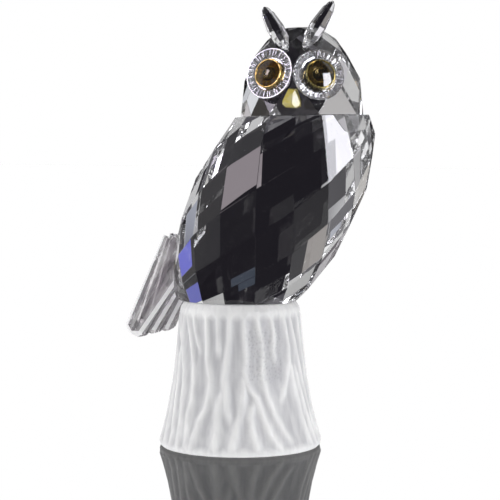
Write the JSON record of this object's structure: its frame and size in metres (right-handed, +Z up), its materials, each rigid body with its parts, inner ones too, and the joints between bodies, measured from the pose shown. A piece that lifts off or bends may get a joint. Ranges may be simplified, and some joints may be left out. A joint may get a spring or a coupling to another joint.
{
  "type": "crystal owl figurine",
  "caption": "Faceted clear crystal owl with fluted eye discs, amber eyes, ear tufts and bar tail feathers, standing on a frosted bark-grooved glass stump as a shelf ornament.",
  "frame": {"origin": "centre of the stump's ground foot, on the surface it stands on", "axes": "+Z up through the stump; +X the way the owl's body leans and faces; the tail is on the -X side and +Y is the owl's left; the head is turned to look along about -Y"},
  "size_m": [0.0673, 0.044, 0.1187],
  "materials": {
    "crystal": "polished clear lead-free crystal, cut in flat facets",
    "frosted_glass": "acid-frosted satin glass with pressed bark grooves",
    "amber_glass": "polished amber glass stone",
    "black_glass": "opaque polished black glass",
    "yellow_crystal": "pale yellow cut crystal",
    "gold_metal": "polished gold plating",
    "adhesive": "clear UV-cured adhesive"
  },
  "bodies": {
    "root": {"stump": "frosted_glass", "foot_bond": "adhesive", "body_crystal": "crystal", "neck_bond": "adhesive", "head_crystal": "crystal", "beak": "yellow_crystal", "beak_bond": "adhesive", "eye_disc_left": "crystal", "eye_disc_bond_left": "adhesive", "eye_stone_bond_left": "adhesive", "eye_bezel_left": "gold_metal", "eye_stone_left": "amber_glass", "pupil_left": "black_glass", "ear_tuft_left": "crystal", "ear_bond_left": "adhesive", "eye_disc_right": "crystal", "eye_disc_bond_right": "adhesive", "eye_stone_bond_right": "adhesive", "eye_bezel_right": "gold_metal", "eye_stone_right": "amber_glass", "pupil_right": "black_glass", "ear_tuft_right": "crystal", "ear_bond_right": "adhesive", "tail_feather_centre": "crystal", "tail_bond_centre": "adhesive", "tail_feather_left": "crystal", "tail_bond_left": "adhesive", "tail_feather_right": "crystal", "tail_bond_right": "adhesive"}
  },
  "joints": []
}
